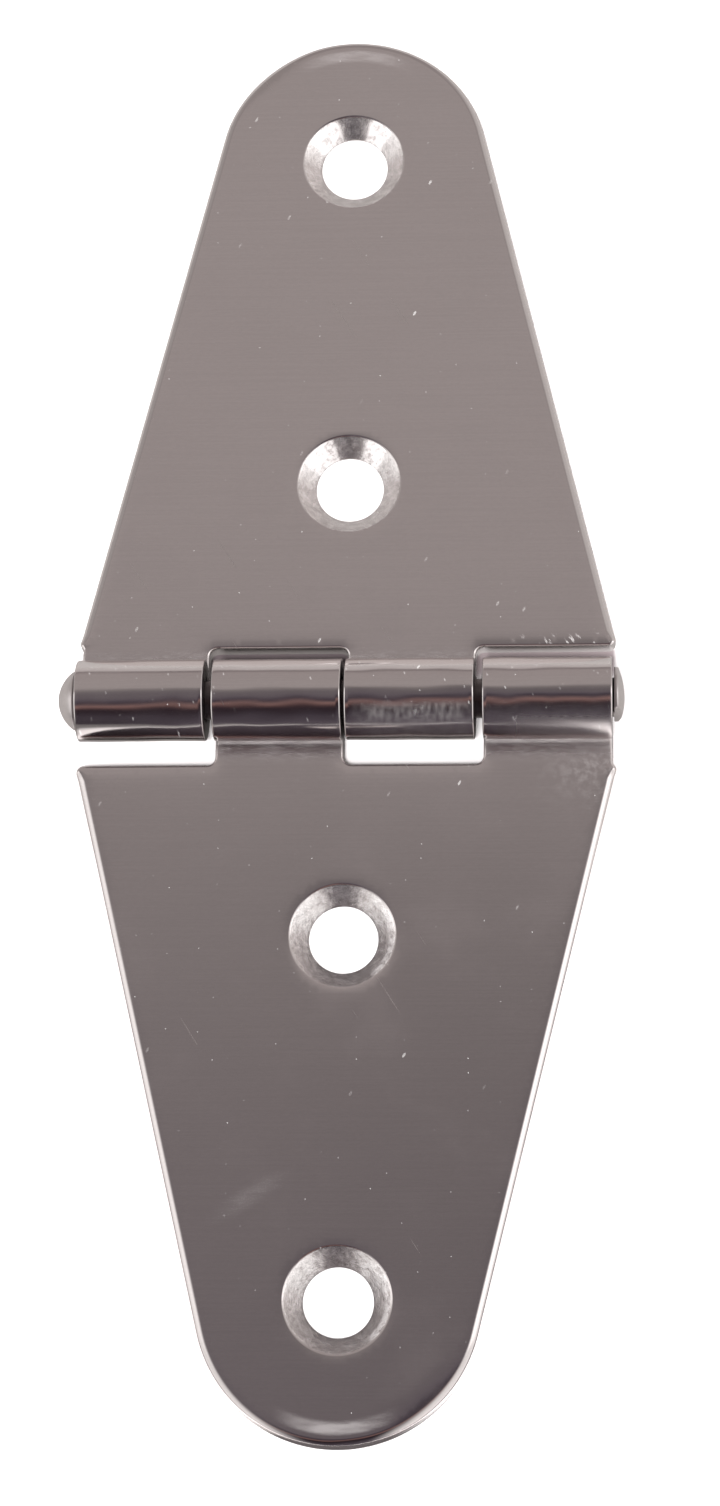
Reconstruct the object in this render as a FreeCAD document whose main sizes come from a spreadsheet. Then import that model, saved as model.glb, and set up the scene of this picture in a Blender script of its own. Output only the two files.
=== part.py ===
import FreeCAD, Part

import math
import os
import re

import Sketcher

# A strap hinge of polished steel, in millimetres. It lies open on its back: X runs along the pin,
# Y along the leaves and Z up, with the origin under the middle of the pin.

Vector = FreeCAD.Vector
UP = Vector(0, 0, 1)
HALF_TURN = 180
TOUCH = 1e-6
KNUCKLES_ON_A_LEAF = 2

# Point numbers of a sketch element, and the numbers of a sketch's own axes.
START, END, CENTRE = 1, 2, 3
ACROSS, ALONG = -1, -2
ORIGIN = (-1, 1)

# The driving dimensions: alias, value, meaning.
SIZES = [
    ("leaf_length", 52.5, "pin axis to the tip of a leaf"),
    ("leaf_width", 38.8, "width of a leaf beside the pin"),
    ("tip_radius", 10.0, "rounded tip of a leaf"),
    ("sheet_thickness", 1.5, "thickness of the sheet"),
    ("front_round", 0.45, "rounding of the front edges, drawn in by the punch"),
    ("back_bevel", 0.25, "bevel of the back edges, which are a knuckle's outer edges"),
    ("bore_bevel", 0.25, "bevel of a knuckle's inner edges, ironed on the mandrel"),
    ("face_corner", 0.1, "corner radius of the flat front face inside its rounding"),
    ("notch_radius", 0.6, "inner corners of the notches"),
    ("shoulder", 0.4, "step from the side of a leaf in to its outer knuckle"),
    ("shoulder_radius", 0.3, "hollow of that step"),
    ("side_gap", 0.58, "play between the two outer pairs of knuckles"),
    ("middle_gap", 0.24, "play between the two middle knuckles"),
    ("notch_gap", 1.4, "room between a knuckle and the edge of its notch"),
    ("curl_gap", 0.1, "gap left where a knuckle closes on its leaf"),
    ("pin_diameter", 2.8, "shank of the pin"),
    ("pin_play", 0.05, "radial play of the pin in the knuckles"),
    ("head_diameter", 4.3, "formed head of the pin"),
    ("head_height", 1.3, "height of the formed head"),
    ("head_rim", 0.15, "straight edge of the formed head"),
    ("head_gap", 0.12, "end play under the formed head"),
    ("peened_diameter", 4.3, "peened head of the pin"),
    ("peened_height", 0.55, "height of the peened head"),
    ("peened_rim", 0.1, "straight edge of the peened head"),
    ("peened_gap", 0.3, "end play under the peened head"),
    ("peened_flat", 1.28, "pin axis to the flat side of the peened head"),
    ("inner_hole", 16.9, "pin axis to the nearer screw hole"),
    ("hole_spacing", 25.6, "between the screw holes of a leaf"),
    ("hole_diameter", 4.9, "screw hole"),
    ("sink_diameter", 7.5, "countersink at the front face"),
    ("sink_angle", 90.0, "countersink"),
]

# What has to fit is worked out from the sizes above.
FITS = [
    ("knuckle_radius", "=pin_diameter / 2 + pin_play + sheet_thickness", "outside of a knuckle"),
    ("row_half", "=leaf_width / 2 - shoulder", "half the row of knuckles"),
    ("middle_half", "=middle_gap / 2", "middle of the row to the knuckle beside it"),
    ("knuckle_width", "=(row_half - side_gap - middle_half) / 2", "one knuckle along the pin"),
    ("notch_edge", "=knuckle_radius + notch_gap", "pin axis to the edge of a notch"),
    ("corner_radius", "=front_round + face_corner", "corners of a leaf beside the pin"),
]

doc = FreeCAD.newDocument("strap_hinge")
sheet = doc.addObject("Spreadsheet::Sheet", "sizes")
for row, (alias, content, meaning) in enumerate(SIZES + FITS, start=1):
    sheet.set(f"A{row}", alias)
    sheet.set(f"B{row}", str(content))
    sheet.set(f"C{row}", meaning)
    sheet.setAlias(f"B{row}", alias)
doc.recompute()


def value(formula):
    """What a formula of the sheet's sizes comes to now."""
    return float(sheet.evalExpression(formula))


def bound(formula):
    """The same formula as another object has to write it, with the sheet's name before each size."""
    return re.sub(r"[a-z]+(_[a-z]+)+", r"sizes.\g<0>", formula)


# Drawing in a sketch


def new_sketch(body, name, plane):
    """A sketch on one of the body's own origin planes."""
    sketch = body.newObject("Sketcher::SketchObject", name)
    support = next(f for f in body.Origin.OriginFeatures if f.Role == plane)
    sketch.AttachmentSupport = [(support, "")]
    sketch.MapMode = "FlatFace"
    return sketch


def line(start, end):
    return Part.LineSegment(Vector(*start, 0), Vector(*end, 0))


def arc(centre, radius, start_angle, end_angle):
    """An arc that runs anticlockwise, with its angles in degrees."""
    circle = Part.Circle(Vector(*centre, 0), UP, radius)
    return Part.ArcOfCircle(circle, math.radians(start_angle), math.radians(end_angle))


def meeting_ends(first, second):
    """The ends at which two elements meet, and whether one runs smoothly on into the other."""
    for here in (END, START):
        for there in (START, END):
            here_point = first.EndPoint if here == END else first.StartPoint
            there_point = second.EndPoint if there == END else second.StartPoint
            if here_point.distanceToPoint(there_point) < TOUCH:
                leaving = first.tangent(first.parameter(here_point))[0]
                arriving = second.tangent(second.parameter(there_point))[0]
                return here, there, leaving.cross(arriving).Length < TOUCH
    raise ValueError("two elements of a chain don't meet")


def draw_chain(sketch, chain):
    """Adds a closed chain of named lines and arcs, each joined to the next; gives their numbers."""
    numbers = {name: sketch.addGeometry(element) for name, element in chain.items()}
    names = list(chain)
    for name, following in zip(names, names[1:] + names[:1]):
        here, there, smooth = meeting_ends(chain[name], chain[following])
        kind = "Tangent" if smooth else "Coincident"
        relate(sketch, kind, numbers[name], here, numbers[following], there)
    return numbers


def relate(sketch, kind, *numbers_and_points):
    sketch.addConstraint(Sketcher.Constraint(kind, *numbers_and_points))


def dimension(sketch, name, kind, where, formula):
    """A named dimension of a sketch, bound to a formula of the sheet's sizes."""
    index = sketch.addConstraint(Sketcher.Constraint(kind, *where, value(formula)))
    sketch.renameConstraint(index, name)
    sketch.setExpression(f"Constraints.{name}", bound(formula))


# The leaf: a flat blank with two tongues, rolled round the pin


def draw_blank(sketch):
    """The leaf from its tip to the line under the pin, where the tongues start to curl."""
    half_width = value("leaf_width / 2")
    edge = value("notch_edge")
    tip_radius = value("tip_radius")
    tip_centre = value("leaf_length") - tip_radius
    corner = value("corner_radius")
    notch = value("notch_radius")
    hollow = value("shoulder_radius")
    width = value("knuckle_width")
    outer_left = -value("row_half")
    outer_right = outer_left + width
    inner_left = value("middle_half")
    inner_right = inner_left + width

    # The side of the leaf leaves the corner beside the pin and ends tangent to the round tip.
    reach = math.hypot(half_width, edge - tip_centre)
    lean = math.atan2(edge - tip_centre, half_width) + math.acos(tip_radius / reach)
    slope = math.degrees(lean)
    tip_side = (tip_radius * math.cos(lean), tip_centre + tip_radius * math.sin(lean))
    corner_x = half_width - corner * (1 + math.sin(lean)) / math.cos(lean)
    corner_y = edge + corner
    corner_side = (corner_x + corner * math.cos(lean), corner_y + corner * math.sin(lean))

    # At the outer knuckle the corner turns back into a hollow that ends on the knuckle's side.
    hollow_x = outer_left - hollow
    hollow_y = corner_y - math.sqrt((corner + hollow) ** 2 - (corner_x + hollow_x) ** 2)
    turn = HALF_TURN + math.degrees(math.atan2(corner_y - hollow_y, -corner_x - hollow_x))

    chain = {
        "outer_end": line((outer_left, 0), (outer_right, 0)),
        "outer_inside": line((outer_right, 0), (outer_right, edge - notch)),
        "first_round": arc((outer_right + notch, edge - notch), notch, 90, 180),
        "middle_notch": line((outer_right + notch, edge), (inner_left - notch, edge)),
        "second_round": arc((inner_left - notch, edge - notch), notch, 0, 90),
        "inner_left": line((inner_left, edge - notch), (inner_left, 0)),
        "inner_end": line((inner_left, 0), (inner_right, 0)),
        "inner_right": line((inner_right, 0), (inner_right, edge - notch)),
        "third_round": arc((inner_right + notch, edge - notch), notch, 90, 180),
        "side_notch": line((inner_right + notch, edge), (corner_x, edge)),
        "corner": arc((corner_x, corner_y), corner, -90, slope),
        "right_side": line(corner_side, tip_side),
        "tip": arc((0, tip_centre), tip_radius, slope, HALF_TURN - slope),
        "left_side": line((-tip_side[0], tip_side[1]), (-corner_side[0], corner_side[1])),
        "shoulder": arc((-corner_x, corner_y), corner, HALF_TURN - slope, turn),
        "hollow": arc((hollow_x, hollow_y), hollow, 0, turn - HALF_TURN),
        "outer_outside": line((outer_left, hollow_y), (outer_left, 0)),
    }
    part = draw_chain(sketch, chain)

    for level in ("outer_end", "inner_end", "middle_notch", "side_notch"):
        relate(sketch, "Horizontal", part[level])
    for end in ("outer_end", "inner_end"):
        relate(sketch, "PointOnObject", part[end], START, ACROSS)
    for notch_side in ("middle_notch", "side_notch"):
        dimension(sketch, notch_side, "DistanceY", (*ORIGIN, part[notch_side], START), "notch_edge")
    for upright, formula in (
        ("outer_outside", "-row_half"),
        ("outer_inside", "-row_half + knuckle_width"),
        ("inner_left", "middle_half"),
        ("inner_right", "middle_half + knuckle_width"),
    ):
        relate(sketch, "Vertical", part[upright])
        dimension(sketch, upright, "DistanceX", (*ORIGIN, part[upright], END), formula)
    for curve, formula in (
        ("first_round", "notch_radius"),
        ("second_round", "notch_radius"),
        ("third_round", "notch_radius"),
        ("corner", "corner_radius"),
        ("shoulder", "corner_radius"),
        ("hollow", "shoulder_radius"),
        ("tip", "tip_radius"),
    ):
        dimension(sketch, curve, "Radius", (part[curve],), formula)
    relate(sketch, "PointOnObject", part["tip"], CENTRE, ALONG)
    dimension(
        sketch, "tip_centre", "DistanceY", (*ORIGIN, part["tip"], CENTRE), "leaf_length - tip_radius"
    )
    dimension(
        sketch,
        "shoulder_centre",
        "DistanceY",
        (*ORIGIN, part["shoulder"], CENTRE),
        "notch_edge + corner_radius",
    )
    for side, way in (("right_side", 1), ("left_side", -1)):
        point = sketch.addGeometry(Part.Point(Vector(way * half_width, edge, 0)), True)
        formula = f"{way} * leaf_width / 2"
        dimension(sketch, f"{side}_width", "DistanceX", (*ORIGIN, point, START), formula)
        dimension(sketch, f"{side}_edge", "DistanceY", (*ORIGIN, point, START), "notch_edge")
        relate(sketch, "PointOnObject", point, START, part[side])


def draw_tongue(sketch):
    """The section of the outer tongue, with the line of the pin above it."""
    left = -value("row_half")
    right = left + value("knuckle_width")
    top = value("sheet_thickness")
    back = value("back_bevel")
    bore = value("bore_bevel")
    pin_height = value("knuckle_radius")
    chain = {
        "bottom": line((left + back, 0), (right - back, 0)),
        "back_right": line((right - back, 0), (right, back)),
        "right": line((right, back), (right, top - bore)),
        "bore_right": line((right, top - bore), (right - bore, top)),
        "top": line((right - bore, top), (left + bore, top)),
        "bore_left": line((left + bore, top), (left, top - bore)),
        "left": line((left, top - bore), (left, back)),
        "back_left": line((left, back), (left + back, 0)),
    }
    part = draw_chain(sketch, chain)
    for level in ("bottom", "top"):
        relate(sketch, "Horizontal", part[level])
    for upright in ("left", "right"):
        relate(sketch, "Vertical", part[upright])
    relate(sketch, "PointOnObject", part["bottom"], START, ACROSS)
    dimension(sketch, "thickness", "DistanceY", (*ORIGIN, part["top"], START), "sheet_thickness")
    dimension(sketch, "outside", "DistanceX", (*ORIGIN, part["left"], START), "-row_half")
    dimension(
        sketch, "inside", "DistanceX", (*ORIGIN, part["right"], START), "-row_half + knuckle_width"
    )
    for bevel, across, up, formula in (
        ("back_left", "", "-", "back_bevel"),
        ("back_right", "", "", "back_bevel"),
        ("bore_left", "-", "-", "bore_bevel"),
        ("bore_right", "-", "", "bore_bevel"),
    ):
        ends = (part[bevel], START, part[bevel], END)
        dimension(sketch, f"{bevel}_across", "DistanceX", ends, across + formula)
        dimension(sketch, f"{bevel}_up", "DistanceY", ends, up + formula)

    pin_line = sketch.addGeometry(line((left, pin_height), (right, pin_height)), True)
    relate(sketch, "Horizontal", pin_line)
    relate(sketch, "Vertical", pin_line, START, part["left"], START)
    relate(sketch, "Vertical", pin_line, END, part["right"], START)
    dimension(sketch, "pin_height", "DistanceY", (*ORIGIN, pin_line, START), "knuckle_radius")


def edges_at(feature, height):
    """The outline of a blank's face at a height, without the ends that the tongues curl on from."""
    names = []
    for number, edge in enumerate(feature.Shape.Edges, start=1):
        box = edge.BoundBox
        flat = abs(box.ZMin - height) < TOUCH and abs(box.ZMax - height) < TOUCH
        if flat and box.YMax > TOUCH:
            names.append(f"Edge{number}")
    return names


def make_leaf(label, turned):
    body = doc.addObject("PartDesign::Body", label)

    outline = new_sketch(body, f"{label}_outline", "XY_Plane")
    draw_blank(outline)
    blank = body.newObject("PartDesign::Pad", f"{label}_blank")
    blank.Profile = outline
    blank.setExpression("Length", bound("sheet_thickness"))
    doc.recompute()
    front = body.newObject("PartDesign::Fillet", f"{label}_front_edges")
    front.Base = (blank, edges_at(blank, value("sheet_thickness")))
    front.setExpression("Radius", bound("front_round"))
    doc.recompute()
    back = body.newObject("PartDesign::Chamfer", f"{label}_back_edges")
    back.Base = (front, edges_at(front, 0))
    back.setExpression("Size", bound("back_bevel"))

    centres = new_sketch(body, f"{label}_hole_centres", "XY_Plane")
    centres.setExpression("AttachmentOffset.Base.z", bound("sheet_thickness"))
    for name, formula in (("inner", "inner_hole"), ("outer", "inner_hole + hole_spacing")):
        middle = Vector(0, value(formula), 0)
        ring = centres.addGeometry(Part.Circle(middle, UP, value("hole_diameter / 2")))
        relate(centres, "PointOnObject", ring, CENTRE, ALONG)
        dimension(centres, name, "DistanceY", (*ORIGIN, ring, CENTRE), formula)
        dimension(centres, f"{name}_width", "Radius", (ring,), "hole_diameter / 2")
    doc.recompute()
    holes = body.newObject("PartDesign::Hole", f"{label}_screw_holes")
    holes.Profile = centres
    holes.DepthType = "ThroughAll"
    holes.HoleCutType = "Countersink"
    holes.HoleCutCustomValues = True
    holes.setExpression("Diameter", bound("hole_diameter"))
    holes.setExpression("HoleCutDiameter", bound("sink_diameter"))
    holes.setExpression("HoleCutCountersinkAngle", bound("sink_angle"))
    doc.recompute()

    section = new_sketch(body, f"{label}_tongue_section", "XZ_Plane")
    draw_tongue(section)
    curl = body.newObject("PartDesign::Revolution", f"{label}_curl")
    curl.Profile = section
    curl.ReferenceAxis = (section, ["Axis0"])
    curl.Reversed = True
    # Past three quarters of a turn the tongue comes down towards the front face of its leaf.
    closing = "asin((knuckle_radius - sheet_thickness - curl_gap) / knuckle_radius)"
    curl.setExpression("Angle", bound(f"270 deg + {closing}"))
    doc.recompute()
    knuckles = body.newObject("PartDesign::LinearPattern", f"{label}_knuckles")
    knuckles.Originals = [curl]
    knuckles.Direction = (section, ["H_Axis"])
    knuckles.setExpression("Length", bound("row_half + middle_half"))
    knuckles.Occurrences = KNUCKLES_ON_A_LEAF
    body.Tip = knuckles

    body.Placement = FreeCAD.Placement(Vector(), FreeCAD.Rotation(UP, turned))
    return body


# The pin: a shank with a formed dome at one end, peened over at the other


def draw_pin(sketch):
    """Half the pin's profile, above its axis."""
    shank = value("pin_diameter / 2")
    head = value("head_diameter / 2")
    peened = value("peened_diameter / 2")
    under_head = -value("row_half + head_gap")
    head_rim = under_head - value("head_rim")
    head_top = under_head - value("head_height")
    under_peened = value("row_half + peened_gap")
    peened_rim = under_peened + value("peened_rim")
    peened_top = under_peened + value("peened_height")

    head_rise = head_rim - head_top
    head_dome = (head**2 + head_rise**2) / (2 * head_rise)
    head_turn = math.degrees(math.asin(head / head_dome))
    peened_rise = peened_top - peened_rim
    peened_dome = (peened**2 + peened_rise**2) / (2 * peened_rise)
    peened_turn = math.degrees(math.asin(peened / peened_dome))

    chain = {
        "axis": line((head_top, 0), (peened_top, 0)),
        "peened_dome": arc((peened_top - peened_dome, 0), peened_dome, 0, peened_turn),
        "peened_rim": line((peened_rim, peened), (under_peened, peened)),
        "under_peened": line((under_peened, peened), (under_peened, shank)),
        "shank": line((under_peened, shank), (under_head, shank)),
        "under_head": line((under_head, shank), (under_head, head)),
        "head_rim": line((under_head, head), (head_rim, head)),
        "head_dome": arc((head_top + head_dome, 0), head_dome, HALF_TURN - head_turn, HALF_TURN),
    }
    part = draw_chain(sketch, chain)
    for level in ("axis", "peened_rim", "shank", "head_rim"):
        relate(sketch, "Horizontal", part[level])
    for upright in ("under_peened", "under_head"):
        relate(sketch, "Vertical", part[upright])
    relate(sketch, "PointOnObject", part["axis"], START, ACROSS)
    for dome in ("peened_dome", "head_dome"):
        relate(sketch, "PointOnObject", part[dome], CENTRE, ACROSS)
    for level, formula in (
        ("shank", "pin_diameter / 2"),
        ("head_rim", "head_diameter / 2"),
        ("peened_rim", "peened_diameter / 2"),
    ):
        dimension(sketch, f"{level}_radius", "DistanceY", (*ORIGIN, part[level], START), formula)
    for name, number, point, formula in (
        ("head_top", part["axis"], START, "-row_half - head_gap - head_height"),
        ("head_edge", part["head_rim"], END, "-row_half - head_gap - head_rim"),
        ("head_underside", part["under_head"], START, "-row_half - head_gap"),
        ("peened_underside", part["under_peened"], START, "row_half + peened_gap"),
        ("peened_edge", part["peened_rim"], START, "row_half + peened_gap + peened_rim"),
        ("peened_top", part["axis"], END, "row_half + peened_gap + peened_height"),
    ):
        dimension(sketch, name, "DistanceX", (*ORIGIN, number, point), formula)


def draw_flat(sketch):
    """What is cut off the side of the peened head, which was sheared there."""
    left = value("row_half + peened_gap")
    right = left + value("peened_height")
    top = -value("peened_flat")
    bottom = -value("peened_diameter / 2")
    chain = {
        "bottom": line((left, bottom), (right, bottom)),
        "right": line((right, bottom), (right, top)),
        "top": line((right, top), (left, top)),
        "left": line((left, top), (left, bottom)),
    }
    part = draw_chain(sketch, chain)
    for level in ("bottom", "top"):
        relate(sketch, "Horizontal", part[level])
    for upright in ("left", "right"):
        relate(sketch, "Vertical", part[upright])
    for name, kind, edge, formula in (
        ("lowest", "DistanceY", "bottom", "-peened_diameter / 2"),
        ("flat", "DistanceY", "top", "-peened_flat"),
        ("near", "DistanceX", "left", "row_half + peened_gap"),
        ("far", "DistanceX", "right", "row_half + peened_gap + peened_height"),
    ):
        dimension(sketch, name, kind, (*ORIGIN, part[edge], START), formula)


def make_pin(label):
    body = doc.addObject("PartDesign::Body", label)
    profile = new_sketch(body, f"{label}_profile", "XY_Plane")
    draw_pin(profile)
    turned = body.newObject("PartDesign::Revolution", f"{label}_turned")
    turned.Profile = profile
    turned.ReferenceAxis = (profile, ["H_Axis"])
    turned.Angle = 2 * HALF_TURN
    doc.recompute()

    sheared = new_sketch(body, f"{label}_sheared_side", "XY_Plane")
    draw_flat(sheared)
    flat = body.newObject("PartDesign::Pocket", f"{label}_flat")
    flat.Profile = sheared
    flat.Type = "Length"
    flat.SideType = "Symmetric"
    flat.setExpression("Length", bound("peened_diameter"))
    body.setExpression(".Placement.Base.z", bound("knuckle_radius"))
    return body


pieces = [make_leaf("upper_leaf", 0), make_leaf("lower_leaf", HALF_TURN), make_pin("hinge_pin")]
doc.recompute()

for item in doc.Objects:
    if "Invalid" in item.State or "Error" in item.State:
        raise RuntimeError(f"{item.Name} failed: {item.State}")
    if item.isDerivedFrom("Sketcher::SketchObject") and not item.FullyConstrained:
        raise RuntimeError(f"{item.Name} isn't fully constrained")
os.makedirs("parts", exist_ok=True)
for piece in pieces:
    if piece.Shape.isNull() or not piece.Shape.isValid():
        raise RuntimeError(f"{piece.Label} has no valid shape")
for piece in pieces:
    piece.Shape.exportStep(f"parts/{piece.Label}.step")
    box = piece.Shape.optimalBoundingBox()
    low = f"{box.XMin:.2f} {box.YMin:.2f} {box.ZMin:.2f}"
    high = f"{box.XMax:.2f} {box.YMax:.2f} {box.ZMax:.2f}"
    print(f"{piece.Label}: {piece.Shape.Volume:.1f} mm3, from {low} to {high}")
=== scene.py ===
import math
from types import SimpleNamespace

import bpy
import numpy as np
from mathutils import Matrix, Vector, noise
from mathutils.geometry import delaunay_2d_cdt


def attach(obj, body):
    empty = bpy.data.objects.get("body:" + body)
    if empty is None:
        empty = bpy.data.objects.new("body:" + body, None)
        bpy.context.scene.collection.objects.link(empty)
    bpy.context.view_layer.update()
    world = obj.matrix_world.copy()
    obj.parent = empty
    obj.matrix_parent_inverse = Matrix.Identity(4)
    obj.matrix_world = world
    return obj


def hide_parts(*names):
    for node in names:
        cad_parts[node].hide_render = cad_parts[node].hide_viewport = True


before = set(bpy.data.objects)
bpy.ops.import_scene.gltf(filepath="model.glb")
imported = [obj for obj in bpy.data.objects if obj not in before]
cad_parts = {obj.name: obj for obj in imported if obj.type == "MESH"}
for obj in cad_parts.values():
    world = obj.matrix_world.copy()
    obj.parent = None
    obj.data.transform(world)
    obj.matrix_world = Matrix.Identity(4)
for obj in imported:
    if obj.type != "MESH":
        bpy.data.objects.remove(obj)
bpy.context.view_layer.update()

# Sizes in millimetres, as in the CAD model. The leaf is a hair shorter, to stay inside the CAD box.
MM = 0.001
LEAF_LENGTH, LEAF_WIDTH, TIP_RADIUS = 52.495, 38.8, 10.0
THICKNESS = 1.5
CORNER_RADIUS, NOTCH_RADIUS = 0.55, 0.6
SHOULDER, SHOULDER_RADIUS = 0.4, 0.3
SIDE_GAP, MIDDLE_HALF, NOTCH_GAP, CURL_GAP = 0.58, 0.12, 1.4, 0.1
SHANK_RADIUS, PIN_PLAY = 1.4, 0.05
HEAD_RADIUS, HEAD_HEIGHT, HEAD_RIM, HEAD_GAP = 2.15, 1.3, 0.15, 0.12
PEENED_HEIGHT, PEENED_RIM, PEENED_GAP, PEENED_FLAT = 0.73, 0.28, 0.12, 1.28
HOLES = (16.9, 42.5)
HOLE_RADIUS, SINK_RADIUS = 2.45, 3.75

KNUCKLE_RADIUS = SHANK_RADIUS + PIN_PLAY + THICKNESS
NOTCH_EDGE = KNUCKLE_RADIUS + NOTCH_GAP
ROW_HALF = LEAF_WIDTH / 2 - SHOULDER
KNUCKLE_WIDTH = (ROW_HALF - SIDE_GAP - MIDDLE_HALF) / 2
OUTER_LEFT = -ROW_HALF
OUTER_RIGHT = OUTER_LEFT + KNUCKLE_WIDTH
INNER_LEFT = MIDDLE_HALF
INNER_RIGHT = INNER_LEFT + KNUCKLE_WIDTH
TIP_CENTRE = LEAF_LENGTH - TIP_RADIUS

# Edge roundings: long edges, notches, back face, knuckle bores, curl ends and countersunk holes.
SIDE_ROUND, NOTCH_ROUND, BACK_ROUND, BORE_ROUND, LIP_ROUND = 0.62, 0.2, 0.12, 0.25, 0.16
SINK_RIM_ROUND, SINK_BORE_ROUND, HOLE_BACK_ROUND = 0.22, 0.06, 0.05
ROUND_GROWTH = 1.2

# Wear: how deep it goes and over what distance it fades.
EDGE_DROP, EDGE_FADE = 0.016, 0.5
SINK_DROP, SINK_FADE, SINK_WORN = 0.009, 0.55, 0.2
TIP_DROP, TIP_REACH, TIP_FADE = 0.17, 2.2, 1.9
TIP_SIDE_ANGLE, TIP_SIDE_SPREAD = -42, 30
SWELL_DEPTH, STREAK_DEPTH = 0.045, 0.008
HEAD_DENT, SHANK_DENT = 0.03, 0.004

# How finely the surfaces are divided, in steps, millimetres or degrees.
ROUND_STEPS, BACK_STEPS, KNUCKLE_STEPS, HOLE_STEPS, CONE_STEPS = 8, 4, 36, 96, 8
DOME_STEPS, SHANK_STEPS, PIN_STEPS = 20, 30, 72
EDGE_STEP, FACE_STEP, BACK_FACE_STEP = 0.6, 0.42, 2.0
CORNER_STEP, TIP_STEP, CURL_STEP = 7.5, 2, 2.5
FACE_CLEARANCE, BACK_CLEARANCE = 0.3, 0.5


def smooth(share):
    """A share between 0 and 1, eased at both ends."""
    share = min(max(share, 0.0), 1.0)
    return share * share * (3 - 2 * share)


# Outline of a leaf, walked anticlockwise: each sample is a point and the direction out of the metal.


def straight(start, end):
    (x0, y0), (x1, y1) = start, end
    length = math.hypot(x1 - x0, y1 - y0)
    out_x, out_y = (y1 - y0) / length, (x0 - x1) / length
    count = max(1, math.ceil(length / EDGE_STEP))
    return [
        (x0 + (x1 - x0) * i / count, y0 + (y1 - y0) * i / count, out_x, out_y)
        for i in range(count + 1)
    ]


def bend(centre, radius, first, last, step=CORNER_STEP):
    """An arc between two angles: round a corner of the metal if they rise, into it if they fall."""
    side = 1 if last > first else -1
    count = max(2, math.ceil(abs(last - first) / step))
    samples = []
    for i in range(count + 1):
        angle = math.radians(first + (last - first) * i / count)
        cos, sin = math.cos(angle), math.sin(angle)
        samples.append((centre[0] + radius * cos, centre[1] + radius * sin, side * cos, side * sin))
    return samples


def joined(*runs):
    samples = list(runs[0])
    for run in runs[1:]:
        samples += run[1:]
    return samples


def leaf_outline():
    """The edge of the middle notch, and the edge from the inner knuckle round the tip to the outer."""
    half, edge, corner = LEAF_WIDTH / 2, NOTCH_EDGE, CORNER_RADIUS
    # The long side runs from the leaf's widest point to where it touches the circle of the tip.
    reach = math.hypot(half, edge - TIP_CENTRE)
    lean = math.atan2(edge - TIP_CENTRE, half) + math.acos(TIP_RADIUS / reach)
    slope = math.degrees(lean)
    tip_x = TIP_RADIUS * math.cos(lean)
    tip_y = TIP_CENTRE + TIP_RADIUS * math.sin(lean)
    corner_x = half - corner * (1 + math.sin(lean)) / math.cos(lean)
    corner_y = edge + corner
    side_x = corner_x + corner * math.cos(lean)
    side_y = corner_y + corner * math.sin(lean)
    # At the outer knuckle the corner runs into a small hollow.
    hollow_x = OUTER_LEFT - SHOULDER_RADIUS
    hollow_y = corner_y - math.sqrt((corner + SHOULDER_RADIUS) ** 2 - (corner_x + hollow_x) ** 2)
    turn = 180 + math.degrees(math.atan2(corner_y - hollow_y, -corner_x - hollow_x))
    low, notch = edge - NOTCH_RADIUS, NOTCH_RADIUS
    middle = joined(
        straight((OUTER_RIGHT, 0), (OUTER_RIGHT, low)),
        bend((OUTER_RIGHT + notch, low), notch, 180, 90),
        straight((OUTER_RIGHT + notch, edge), (INNER_LEFT - notch, edge)),
        bend((INNER_LEFT - notch, low), notch, 90, 0),
        straight((INNER_LEFT, low), (INNER_LEFT, 0)),
    )
    around = joined(
        straight((INNER_RIGHT, 0), (INNER_RIGHT, low)),
        bend((INNER_RIGHT + notch, low), notch, 180, 90),
        straight((INNER_RIGHT + notch, edge), (corner_x, edge)),
        bend((corner_x, corner_y), corner, -90, slope),
        straight((side_x, side_y), (tip_x, tip_y)),
        bend((0, TIP_CENTRE), TIP_RADIUS, slope, 180 - slope, TIP_STEP),
        straight((-tip_x, tip_y), (-side_x, side_y)),
        bend((-corner_x, corner_y), corner, 180 - slope, turn),
        bend((hollow_x, hollow_y), SHOULDER_RADIUS, turn - 180, 0),
        straight((OUTER_LEFT, hollow_y), (OUTER_LEFT, 0)),
    )
    return middle, around


def rim_profile(front_round, back_round, shrink=0.0):
    """Levels down the edge of the sheet, from front face to back, each an inset and a height."""
    levels = []
    for i in range(ROUND_STEPS + 1):
        angle = math.pi / 2 * i / ROUND_STEPS
        inset = front_round * (1 - math.sin(angle))
        levels.append((inset, THICKNESS - front_round * (1 - math.cos(angle))))
    for i in range(BACK_STEPS + 1):
        angle = math.pi / 2 * i / BACK_STEPS
        inset = back_round * (1 - math.cos(angle))
        levels.append((inset, back_round * (1 - math.sin(angle))))
    if shrink:
        middle = THICKNESS / 2
        share = 1 - shrink / middle
        levels = [(inset + shrink, middle + (z - middle) * share) for inset, z in levels]
    return levels


def edge_round(y):
    """Front rounding at a place on the outline: small round the punched notches, wide on the sides."""
    return NOTCH_ROUND + (SIDE_ROUND - NOTCH_ROUND) * smooth((y - NOTCH_EDGE) / ROUND_GROWTH)


class Shape:
    """Points and faces of a piece as they are made, in millimetres."""

    def __init__(self):
        self.points, self.faces = [], []

    def add(self, x, y, z):
        self.points.append((x, y, z))
        return len(self.points) - 1

    def strip(self, first, second, closed=False):
        """Faces between two rows of points of one length."""
        count = len(first)
        for i in range(count if closed else count - 1):
            after = (i + 1) % count
            self.faces.append((first[i], first[after], second[after], second[i]))


def inside(point, loop):
    """Whether a point lies in a closed loop of points."""
    x, y = point
    odd = False
    for (x0, y0), (x1, y1) in zip(loop, loop[1:] + loop[:1]):
        if (y0 > y) != (y1 > y) and x < (x1 - x0) * (y - y0) / (y1 - y0) + x0:
            odd = not odd
    return odd


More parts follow.
